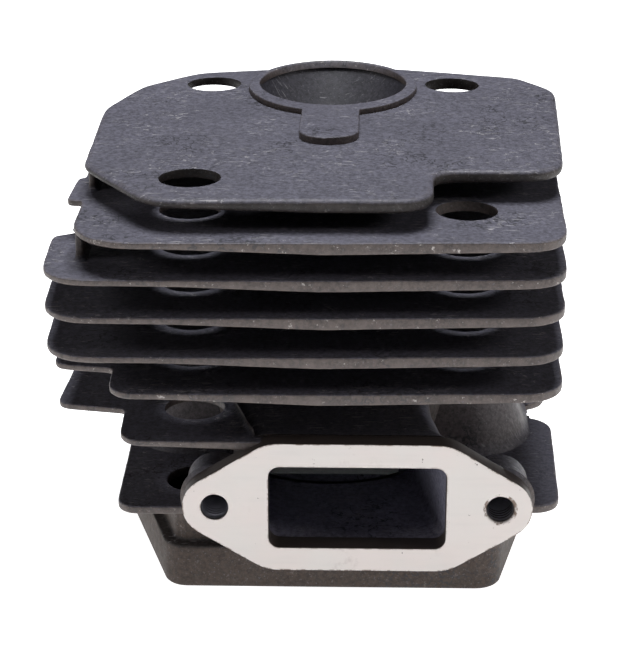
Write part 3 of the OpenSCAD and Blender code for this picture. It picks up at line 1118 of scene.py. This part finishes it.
def build_transfer(name, side):
    """Bulge over the transfer channels, leaning in towards the fins."""
    low, high = box_mm(name)
    lobe_y = 10.0
    foot_r = (high[1] - low[1]) / 2 - lobe_y
    reach = high[0] if side > 0 else -low[0]
    corner_x = reach - foot_r
    b = Builder()
    rings = []
    steps = 18
    for k in range(steps + 1):
        t = k / steps
        z = low[2] + (high[2] - low[2]) * t
        radius = foot_r + (5.0 - foot_r) * t
        rise = z - low[2]
        if rise < 1.0:
            radius += 0.6 * (1 - math.sin(math.acos(1 - rise)))
        rings.append(
            b.ring([(x, y, z) for x, y in transfer_outline(side, radius, lobe_y, corner_x)])
        )
    for first, second in zip(rings, rings[1:]):
        b.bridge(first, second)
    b.cap(rings[0], True)
    b.cap(rings[-1])
    obj = b.make(name + "_cast", material("coating"), 60)
    fix_normals(obj)
    return finish_piece(obj, [name])


def loft_tube(b, sections):
    """Joins outer and inner sections into one open-ended pipe with closed lips."""
    outer = [b.ring(points) for points, _ in sections]
    inner = [b.ring(points) for _, points in sections]
    for first, second in zip(outer, outer[1:]):
        b.bridge(first, second)
    b.bridge(inner[0], outer[0])
    b.bridge(outer[-1], inner[-1])
    inside_start = len(b.faces)
    for first, second in zip(inner, inner[1:]):
        b.bridge(second, first)
    return inside_start


def build_exhaust_duct():
    """Skewed exhaust duct with rounded corners and its gas passage."""
    low, high = box_mm("exhaust_duct")
    back = box_mm("exhaust_flange")[1][1]
    port = outline_loops("exhaust_flange", "front", 0.5)[1]
    ring = np.array(port)
    port_x = (ring[:, 0].min(), ring[:, 0].max())
    port_z = (ring[:, 1].min(), ring[:, 1].max())
    lining = mount("bore")["dims"]["r_mm"] + 1.2
    b = Builder()
    sections = []
    for k in range(9):
        t = k / 8
        y = back - 0.3 + t * (-17.0 - back)
        flare = 1.3 * max(0.0, 1 - (y - back) / 2.5) ** 2
        left, right = duct_sides(y, back)
        x0 = left - flare
        x1 = right + flare
        i0 = np.interp(y, [back, -20.0], [port_x[0], -17.5])
        i1 = np.interp(y, [back, -20.0], [port_x[1], 17.5])
        shell = rounded_rect(x0, x1, low[2] - flare, high[2] + flare * 0.3, 4.5)
        hollow = rounded_rect(i0, i1, port_z[0], port_z[1], 2.2)
        if k == 8:
            outer_points = [onto_bore(x, z, lining) for x, z in shell]
            inner_points = [onto_bore(x, z, lining) for x, z in hollow]
        else:
            outer_points = [clear_of_bore(x, y, z, lining) for x, z in shell]
            inner_points = [clear_of_bore(x, y, z, lining) for x, z in hollow]
        sections.append((outer_points, inner_points))
    passage = loft_tube(b, sections)
    obj = b.make("exhaust_duct_cast", material("coating"), 50)
    obj.data.materials.append(material("coating_port"))
    for face in obj.data.polygons[passage:]:
        face.material_index = 1
    fix_normals(obj)
    return finish_piece(obj, ["exhaust_duct"])


def onto_bore(x, z, radius):
    """Point on the front of the bore wall at a sideways distance."""
    return (x, -math.sqrt(max(0.0, radius * radius - x * x)), z)


def clear_of_bore(x, y, z, radius):
    """The same point, pushed forward when it would stand in the bore."""
    edge = -math.sqrt(max(0.0, radius * radius - min(x * x, radius * radius)))
    return (x, min(y, edge - 0.05), z)


def flange_holes(loops, radii):
    """Replaces the two small outlines by circles of the given radii, left one first."""
    big = loops[:2]
    small = sorted(loops[2:], key=lambda loop: np.array(loop)[:, 0].mean())
    for loop, radius in zip(small, radii):
        ring = np.array(loop)
        centre = (ring.min(axis=0) + ring.max(axis=0)) / 2
        big.append([(centre[0] + u, centre[1] - v) for u, v in circle(radius, 56)])
    return big


def build_exhaust_flange():
    """Milled exhaust flange: crisp face, cast back edge, plain and tapped holes."""
    low, high = box_mm("exhaust_flange")
    loops = outline_loops("exhaust_flange", "front", 0.5)
    loops = [relax(resample(loop, 0.5), 2) for loop in loops]
    loops[0] = waver(loops[0], 0.1, 57.0)
    core = mount("exhaust_screws")["dims"]["hole_r_mm"]
    plain_r = core + 0.25
    bevel_r = core + 0.12
    loops = flange_holes(loops, (plain_r, bevel_r))
    rims = [
        {"face": 0.12, "back": 1.0, "worn": 0.9, "steps": 4, "support": 0.2},
        {"face": 0.14, "back": 0.2, "worn": 0.45, "steps": 3, "support": 0.2},
    ]
    rims.append({"face": 0.1, "back": 0.1, "worn": 0.5, "steps": 2, "support": 0.2})
    rims.append({"face": 0.66, "back": 0.1, "worn": 1.0, "steps": 5, "support": 0.2})
    b = Builder()
    slab(b, "front", loops, lambda u, v: -low[1], lambda u, v: -high[1], rims, 3.0)
    obj = b.make("exhaust_flange_milled", material("milled"), 35)
    return finish_piece(obj, ["exhaust_flange"])


def build_exhaust_boss(name):
    """Round screw boss behind a flange lobe with its tapped hole."""
    low, high = box_mm(name)
    dims = mount("exhaust_screws")["dims"]
    centre = mount_mm("exhaust_screws")
    side = 1 if low[0] > centre.x else -1
    origin = Vector((centre.x + side * dims["spacing_x_mm"] / 2, centre.y, centre.z))
    face = -box_mm("exhaust_flange")[0][1]
    back = -box_mm("exhaust_flange")[1][1]
    end = -high[1]
    radius = (high[2] - low[2]) / 2
    core = dims["hole_r_mm"]
    b = Builder()
    outside = [
        (face - back - 0.4, radius + 0.9),
        (face - back + 0.3, radius + 0.35),
        (face - back + 1.2, radius),
        (face - end - 1.6, radius),
        (face - end - 0.5, radius - 0.5),
        (face - end, radius - 1.7),
    ]
    rings = turned(b, origin, (0, 1, 0), outside, 56)
    centre_point = b.add(origin + Vector((0, face - end, 0)))
    b.fan(rings[-1], centre_point)
    if side > 0:
        inside = [(0.66, core + 0.12), (0.95, core + 0.1)]
        marks = [0.6, 0.3]
    else:
        inside = [(0.5, core + 0.24), (1.7, core + 0.22), (1.9, core + 0.05)]
        marks = [0.4, 0.0, 0.0]
    threads = thread_profile(inside[-1][0] + 0.15, 12.6, core, 0.4, 1.0)
    inside += threads + [(12.9, core), (13.6, 0.3)]
    marks += [0.0] * (len(threads) + 2)
    cast_faces = len(b.faces)
    inner = turned(b, origin, (0, 1, 0), inside, 56, marks)
    tapped_faces = len(b.faces)
    b.bridge(rings[0], inner[0])
    obj = b.make(name + "_cast", material("coating"), 50)
    obj.data.materials.append(material("tapped"))
    for face in obj.data.polygons[cast_faces:tapped_faces]:
        face.material_index = 1
    fix_normals(obj)
    return finish_piece(obj, [name])


def build_intake_duct():
    """Straight intake duct with rounded corners."""
    low, high = box_mm("intake_duct")
    port = outline_loops("intake_flange", "back", 0.5)[1]
    ring = np.array(port)
    half = (ring[:, 0].max() - ring[:, 0].min()) / 2
    port_z = (ring[:, 1].min(), ring[:, 1].max())
    barrel_r = -box_mm("barrel_wall")[0][0]
    b = Builder()
    sections = []
    for y in (high[1] + 0.2, high[1] - 2, 38.0, 30.0, 24.0):
        flare = 1.2 * max(0.0, 1 - (high[1] - y) / 2.0) ** 2
        shell = rounded_rect(low[0] - flare, high[0] + flare, low[2] - flare, high[2] + flare, 3.5)
        hollow = rounded_rect(-half, half, port_z[0], port_z[1], 1.2)
        outer_points = []
        inner_points = []
        for x, z in shell:
            edge = math.sqrt(max(0.0, (barrel_r - 2) ** 2 - x * x))
            outer_points.append((x, max(y, edge), z))
        for x, z in hollow:
            edge = math.sqrt(max(0.0, (barrel_r - 2) ** 2 - x * x))
            inner_points.append((x, max(y, edge), z))
        sections.append((outer_points, inner_points))
    loft_tube(b, sections)
    obj = b.make("intake_duct_cast", material("coating"), 50)
    fix_normals(obj)
    return finish_piece(obj, ["intake_duct"])


def build_intake_flange():
    """Milled intake flange at the back."""
    low, high = box_mm("intake_flange")
    loops = outline_loops("intake_flange", "back", 0.5)
    loops = [relax(resample(loop, 0.6), 2) for loop in loops]
    rims = [{"face": 0.14, "back": 0.9, "worn": 0.6, "steps": 4, "support": 0.2}]
    rims += [{"face": 0.2, "back": 0.2, "worn": 0.4, "steps": 3, "support": 0.2}] * 3
    b = Builder()
    slab(b, "back", loops, lambda u, v: high[1], lambda u, v: low[1], rims, 3.0)
    obj = b.make("intake_flange_milled", material("milled"), 35)
    return finish_piece(obj, ["intake_flange"])


def build_edge_rib(name):
    """Small rib that joins two fins at their left edge, filleted at both ends."""
    low, high = box_mm(name)
    b = Builder()
    rings = []
    steps = 10
    for k in range(steps + 1):
        t = k / steps
        z = low[2] - 0.1 + (high[2] - low[2] + 0.2) * t
        end = min(t, 1 - t) * (high[2] - low[2])
        flare = 0.9 * max(0.0, 1 - end / 1.2) ** 2
        outline = rounded_rect(
            low[0] - flare * 0.3, high[0] + flare, low[1] - flare, high[1] + flare, 0.6, 4
        )
        rings.append(b.ring([(x, y, z) for x, y in outline], 0.3))
    for first, second in zip(rings, rings[1:]):
        b.bridge(first, second)
    b.cap(rings[0], True)
    b.cap(rings[-1])
    obj = b.make(name + "_cast", material("coating"), 50)
    return finish_piece(obj, [name])


def finish_frame_node(name, finish):
    """Gives a frame node that stays in view its proper finish."""
    obj = frame["nodes"][name]
    obj.data.materials.clear()
    obj.data.materials.append(material(finish))


# ---------------------------------------------------------------- stage


def build_floor(settings):
    """Pale paper floor under the part."""
    half = settings.floor_size / 2
    level = cad_box[0][2] - 0.00002
    corners = [(-half, -half, level), (half, -half, level), (half, half, level), (-half, half, level)]
    mesh = bpy.data.meshes.new("studio_floor")
    mesh.from_pydata(corners, [], [(0, 1, 2, 3)])
    floor = bpy.data.objects.new("studio_floor", mesh)
    bpy.context.scene.collection.objects.link(floor)
    mesh.materials.append(floor_material(tuple(settings.paper_colour), settings.floor_glow))


def area_light(name, place_at, aim, size, power, colour):
    """Soft rectangular lamp aimed at a point."""
    data = bpy.data.lights.new(name, "AREA")
    data.shape = "RECTANGLE"
    data.size = size[0]
    data.size_y = size[1]
    data.energy = power
    data.color = colour
    lamp = bpy.data.objects.new(name, data)
    lamp.location = place_at
    lamp.rotation_euler = (Vector(aim) - Vector(place_at)).to_track_quat("-Z", "Y").to_euler()
    bpy.context.scene.collection.objects.link(lamp)


def build_camera(settings):
    """Camera in front of the exhaust side, looking a little down."""
    turn = settings.camera_turn
    tilt = settings.camera_tilt
    roll = settings.camera_roll
    ahead = Vector((math.sin(turn) * math.cos(tilt), math.cos(turn) * math.cos(tilt), -math.sin(tilt)))
    right = Vector((math.cos(turn), -math.sin(turn), 0.0))
    above = right.cross(ahead)
    across = right * math.cos(roll) + above * math.sin(roll)
    upward = above * math.cos(roll) - right * math.sin(roll)
    data = bpy.data.cameras.new("studio_camera")
    data.sensor_fit = "HORIZONTAL"
    data.sensor_width = 36.0
    data.lens = settings.camera_lens
    data.clip_start = 0.01
    data.clip_end = 50.0
    camera = bpy.data.objects.new("studio_camera", data)
    camera.matrix_world = Matrix.Translation(settings.camera_place) @ Matrix(
        (across, upward, -ahead)
    ).transposed().to_4x4()
    bpy.context.scene.collection.objects.link(camera)
    bpy.context.scene.camera = camera


def build_world(settings):
    """Even white surroundings."""
    world = bpy.data.worlds.new("studio_room")
    world.use_nodes = True
    back = world.node_tree.nodes["Background"]
    back.inputs["Color"].default_value = (1.0, 1.0, 1.0, 1.0)
    back.inputs["Strength"].default_value = settings.room_light
    bpy.context.scene.world = world


# ---------------------------------------------------------------- settings


class CylinderShape(bpy.types.PropertyGroup):
    """Roundings that the casting has beyond its plain sizes, in millimetres."""

    rim_top: bpy.props.FloatProperty(
        name="Upper rim radius", description="Rounding of the upper fin rims", default=0.3, min=0.05
    )
    rim_bottom: bpy.props.FloatProperty(
        name="Lower rim radius", description="Rounding of the lower fin rims", default=0.45, min=0.05
    )
    crown_rim: bpy.props.FloatProperty(
        name="Crown rim radius", description="Rounding of the top fin's rim", default=1.0, min=0.1
    )
    crown_extra: bpy.props.FloatProperty(
        name="Crown extra", description="Extra thickness under the top fin", default=0.4, min=0.0
    )
    root_fillet: bpy.props.FloatProperty(
        name="Root fillet", description="Fillet where fins meet the barrel", default=1.4, min=0.1
    )
    edge_waver: bpy.props.FloatProperty(
        name="Edge unevenness", description="How uneven the cast fin edges are", default=0.22, min=0.0
    )


class CylinderCoating(bpy.types.PropertyGroup):
    """Colours and wear of the dark coating, with the painted light and shade of its tops and walls."""

    # painted light: cool bluish tone for light reflected onto upward faces
    top_colour_painted_light: bpy.props.FloatVectorProperty(
        name="Top colour", description="Coating on upward faces", subtype="COLOR",
        default=(0.093, 0.091, 0.118), min=0, max=1
    )
    # painted light: warm brownish tone for bounce light onto walls; undersides, the top fin's walls
    # and the flange's cast faces take painted light and shade from it
    side_colour_painted_warm_light: bpy.props.FloatVectorProperty(
        name="Side colour", description="Coating on walls and rims", subtype="COLOR",
        default=(0.068, 0.0525, 0.0485), min=0, max=1
    )
    # painted light: tone of the base block's upward faces
    base_top_painted_light: bpy.props.FloatVectorProperty(
        name="Base top colour", description="Upward faces of the base block", subtype="COLOR",
        default=(0.05, 0.045, 0.045), min=0, max=1
    )
    # painted light: warm brownish tone for bounce light onto the base block's walls
    base_side_painted_warm_light: bpy.props.FloatVectorProperty(
        name="Base side colour", description="Walls of the base block", subtype="COLOR",
        default=(0.046, 0.03, 0.0225), min=0, max=1
    )
    speck_colour: bpy.props.FloatVectorProperty(
        name="Speck colour", description="Paler specks in the coating", subtype="COLOR",
        default=(0.17, 0.165, 0.19), min=0, max=1
    )
    roughness: bpy.props.FloatProperty(
        name="Roughness", description="Mean roughness of the coating", default=0.55, min=0, max=1
    )
    grain_strength: bpy.props.FloatProperty(
        name="Grain", description="Strength of the fine surface grain", default=0.35, min=0, max=1
    )
    scuffs: bpy.props.FloatProperty(
        name="Scuffs", description="Strength of pale scuff marks", default=1.0, min=0, max=1
    )


class CylinderMetal(bpy.types.PropertyGroup):
    """Colours of the bare metal."""

    face_colour: bpy.props.FloatVectorProperty(
        name="Milled colour", description="Bare milled flange faces", subtype="COLOR",
        default=(0.66, 0.63, 0.615), min=0, max=1
    )
    bore_colour: bpy.props.FloatVectorProperty(
        name="Bore colour", description="Honed bore lining", subtype="COLOR",
        default=(0.22, 0.22, 0.24), min=0, max=1
    )


class CylinderStage(bpy.types.PropertyGroup):
    """Floor, lamps and camera."""

    floor_size: bpy.props.FloatProperty(
        name="Floor size", description="Side of the square floor", default=8.0, unit="LENGTH"
    )
    paper_colour: bpy.props.FloatVectorProperty(
        name="Paper colour", description="Colour of the floor", subtype="COLOR",
        default=(0.93, 0.93, 0.93), min=0, max=1
    )
    floor_glow: bpy.props.FloatProperty(
        name="Floor glow", description="Light given off by the floor itself", default=1.1, min=0
    )
    room_light: bpy.props.FloatProperty(
        name="Room light", description="Brightness of the surroundings", default=0.015, min=0
    )
    lamp_power: bpy.props.FloatProperty(
        name="Lamp power", description="Power of the large lamp overhead", default=11.0, min=0,
        unit="POWER"
    )
    camera_place: bpy.props.FloatVectorProperty(
        name="Camera place", description="Camera position", subtype="TRANSLATION",
        default=(0.00502, -0.40774, 0.20195)
    )
    camera_turn: bpy.props.FloatProperty(
        name="Camera turn", description="Turn of the camera to the right", subtype="ANGLE",
        default=math.radians(-1.1135)
    )
    camera_tilt: bpy.props.FloatProperty(
        name="Camera tilt", description="Downward tilt of the camera", subtype="ANGLE",
        default=math.radians(21.440)
    )
    camera_roll: bpy.props.FloatProperty(
        name="Camera roll", description="Roll of the camera", subtype="ANGLE",
        default=math.radians(0.066)
    )
    camera_lens: bpy.props.FloatProperty(
        name="Lens", description="Focal length in millimetres", default=113.55, min=10
    )


# ---------------------------------------------------------------- operators


class CYLINDER_OT_base(bpy.types.Operator):
    """Make the base block and the base plate"""

    bl_idname = "cylinder.make_base"
    bl_label = "Make base"

    def execute(self, context):
        build_base_block()
        build_base_plate()
        return {"FINISHED"}


class CYLINDER_OT_barrel(bpy.types.Operator):
    """Finish the barrel wall, its lining and the transfer bulges"""

    bl_idname = "cylinder.make_barrel"
    bl_label = "Make barrel"

    def execute(self, context):
        finish_frame_node("barrel_wall", "coating")
        finish_frame_node("bore_lining", "honed")
        build_transfer("transfer_left", -1)
        build_transfer("transfer_right", 1)
        return {"FINISHED"}


class CYLINDER_OT_fins(bpy.types.Operator):
    """Make the seven cooling fins and the two ribs between them"""

    bl_idname = "cylinder.make_fins"
    bl_label = "Make fins"

    def execute(self, context):
        for number, name in enumerate(FINS):
            build_fin(name, 3.1 + number * 5.3)
        build_edge_rib("edge_rib_upper")
        build_edge_rib("edge_rib_lower")
        return {"FINISHED"}


class CYLINDER_OT_head(bpy.types.Operator):
    """Finish the head dome and make the plug well and its collar"""

    bl_idname = "cylinder.make_head"
    bl_label = "Make head"

    def execute(self, context):
        finish_frame_node("head_dome", "coating")
        build_plug_well()
        build_collar()
        return {"FINISHED"}


class CYLINDER_OT_exhaust(bpy.types.Operator):
    """Make the exhaust duct, flange and screw bosses"""

    bl_idname = "cylinder.make_exhaust"
    bl_label = "Make exhaust"

    def execute(self, context):
        build_exhaust_duct()
        build_exhaust_flange()
        build_exhaust_boss("exhaust_boss_left")
        build_exhaust_boss("exhaust_boss_right")
        return {"FINISHED"}


class CYLINDER_OT_intake(bpy.types.Operator):
    """Make the intake duct and flange"""

    bl_idname = "cylinder.make_intake"
    bl_label = "Make intake"

    def execute(self, context):
        build_intake_duct()
        build_intake_flange()
        return {"FINISHED"}


class CYLINDER_OT_stage(bpy.types.Operator):
    """Set up the floor, the lamps and the camera"""

    bl_idname = "cylinder.make_stage"
    bl_label = "Make stage"

    def execute(self, context):
        settings = context.scene.cylinder_stage
        build_floor(settings)
        build_world(settings)
        power = settings.lamp_power
        aim = (0.0, 0.0, 0.05)
        cool = (0.97, 0.98, 1.0)
        warm = (1.0, 0.96, 0.93)
        area_light("lamp_top", (0.0, 0.14, 1.04), aim, (0.6, 0.5), power, cool)
        area_light("lamp_left", (-1.1, -0.3, 0.6), aim, (0.3, 0.25), power * 0.2, warm)
        area_light("lamp_right", (1.1, -0.3, 0.6), aim, (0.3, 0.25), power * 0.25, warm)
        build_camera(settings)
        context.scene.view_settings.view_transform = "Standard"
        return {"FINISHED"}


class CYLINDER_PT_panel(bpy.types.Panel):
    """Sidebar panel that lists the makers and their settings"""

    bl_idname = "CYLINDER_PT_panel"
    bl_label = "Engine cylinder"
    bl_space_type = "VIEW_3D"
    bl_region_type = "UI"
    bl_category = "Cylinder"

    def draw(self, context):
        layout = self.layout
        for operator in OPERATORS:
            layout.operator(operator.bl_idname)
        for group, _ in SETTINGS:
            settings = getattr(context.scene, group)
            box = layout.box()
            for name in settings.__annotations__:
                box.prop(settings, name)


OPERATORS = [
    CYLINDER_OT_base,
    CYLINDER_OT_barrel,
    CYLINDER_OT_fins,
    CYLINDER_OT_head,
    CYLINDER_OT_exhaust,
    CYLINDER_OT_intake,
    CYLINDER_OT_stage,
]

SETTINGS = [
    ("cylinder_shape", CylinderShape),
    ("cylinder_coating", CylinderCoating),
    ("cylinder_metal", CylinderMetal),
    ("cylinder_stage", CylinderStage),
]


def register():
    """Adds the settings, the operators and the panel."""
    for name, group in SETTINGS:
        bpy.utils.register_class(group)
        setattr(bpy.types.Scene, name, bpy.props.PointerProperty(type=group))
    for operator in OPERATORS:
        bpy.utils.register_class(operator)
    bpy.utils.register_class(CYLINDER_PT_panel)


def unregister():
    """Takes them away again."""
    bpy.utils.unregister_class(CYLINDER_PT_panel)
    for operator in reversed(OPERATORS):
        bpy.utils.unregister_class(operator)
    for name, group in reversed(SETTINGS):
        delattr(bpy.types.Scene, name)
        bpy.utils.unregister_class(group)


def main():
    """Builds every piece in order."""
    register()
    bpy.ops.cylinder.make_base()
    bpy.ops.cylinder.make_barrel()
    bpy.ops.cylinder.make_fins()
    bpy.ops.cylinder.make_head()
    bpy.ops.cylinder.make_exhaust()
    bpy.ops.cylinder.make_intake()
    bpy.ops.cylinder.make_stage()


if __name__ == "__main__":
    main()
